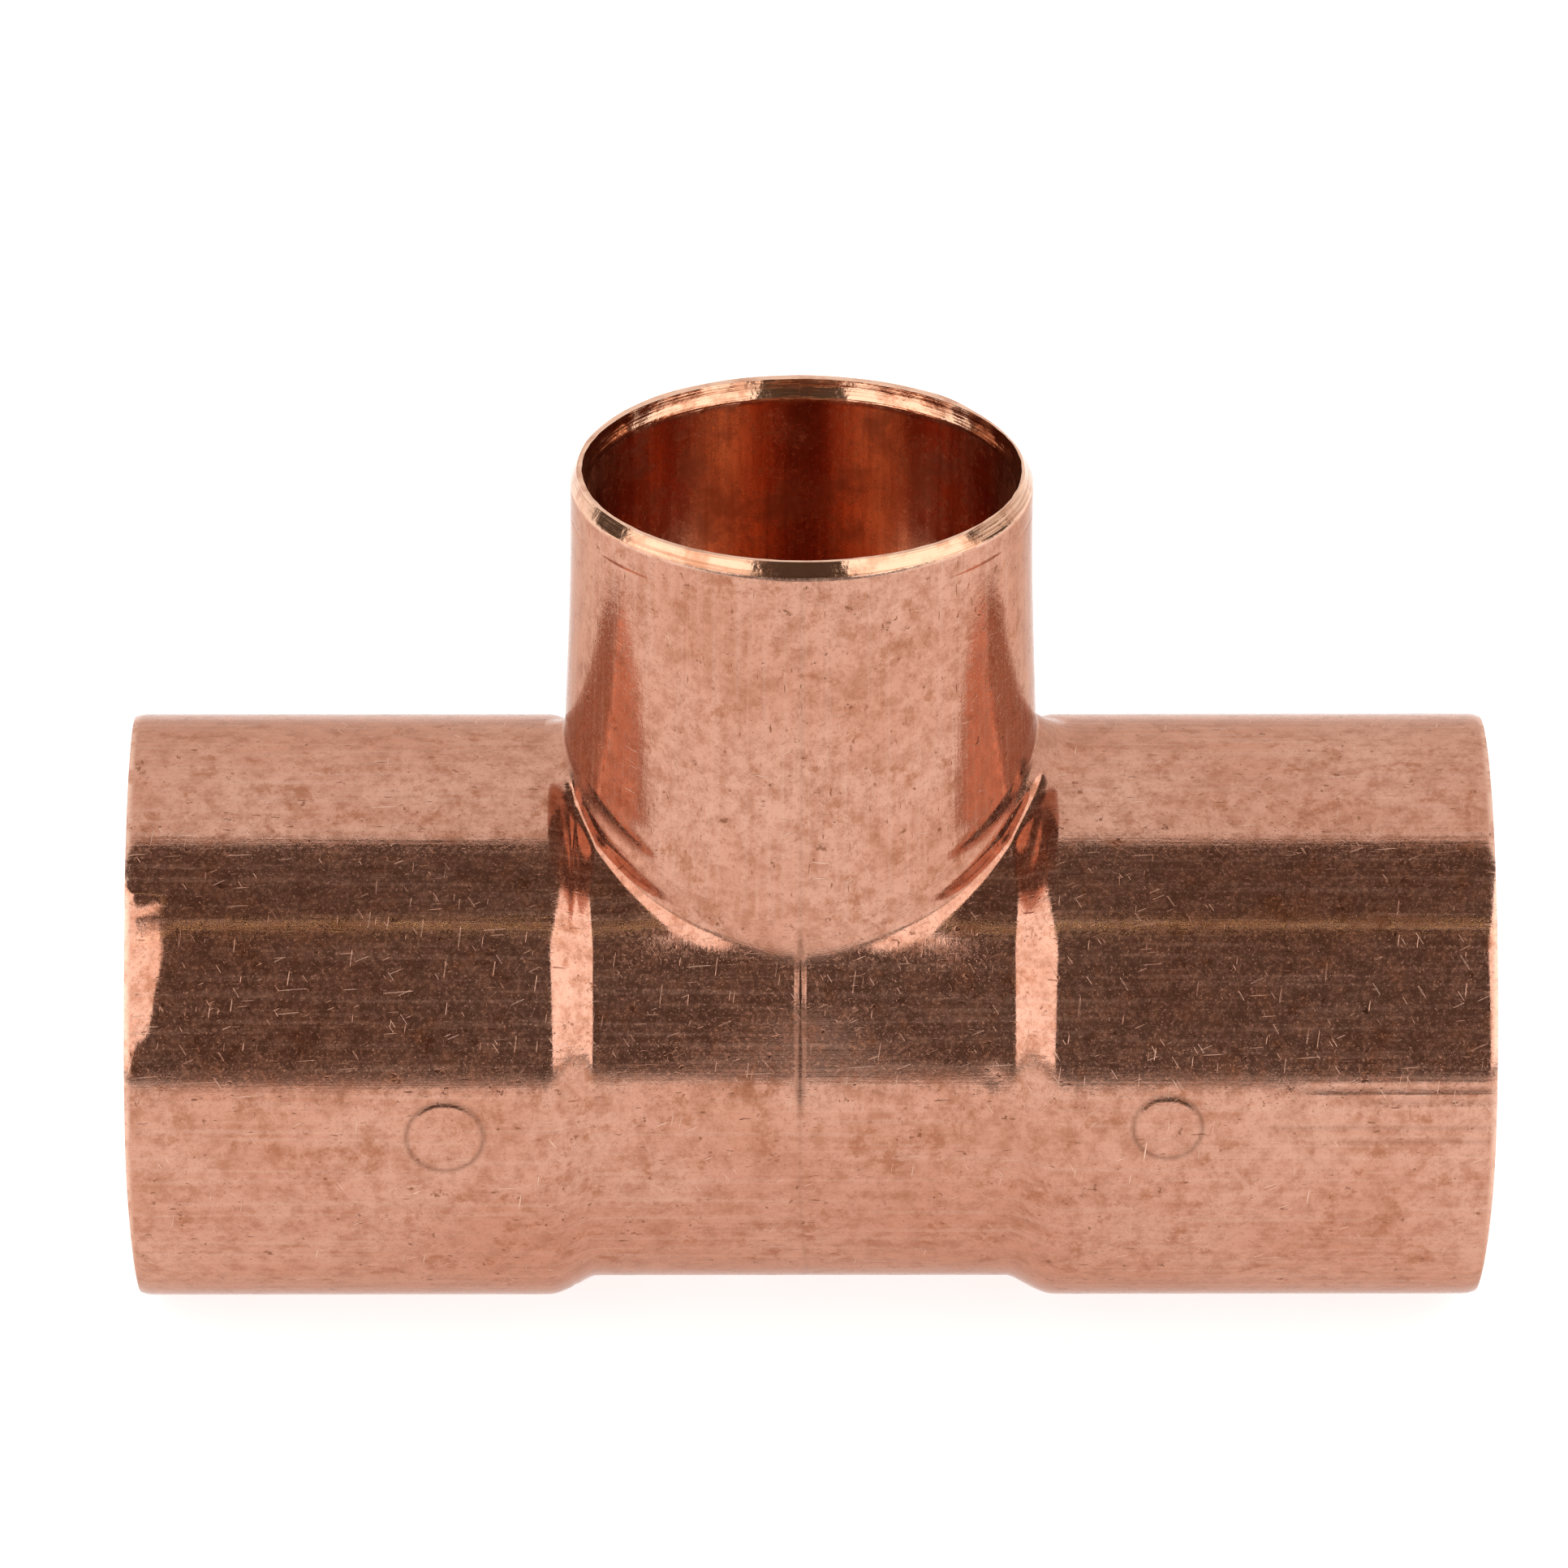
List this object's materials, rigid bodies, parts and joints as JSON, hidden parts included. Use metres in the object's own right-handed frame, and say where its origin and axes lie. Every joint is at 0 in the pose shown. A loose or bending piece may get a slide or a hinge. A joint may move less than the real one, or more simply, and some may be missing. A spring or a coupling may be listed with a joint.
{
  "type": "tee fitting",
  "caption": "Reducing copper tee for soldered joints: a straight run with a cup at each end and a smaller cup on the branch.",
  "frame": {"origin": "where the axis of the run crosses the axis of the branch", "axes": "+X along the run towards the right socket, +Z along the branch towards its mouth, +Y completes the frame"},
  "size_m": [0.0707, 0.0306, 0.0463],
  "materials": {
    "copper": "satin"
  },
  "bodies": {
    "root": {"centre_body": "copper", "left_socket": "copper", "right_socket": "copper", "branch_socket": "copper"}
  },
  "joints": []
}
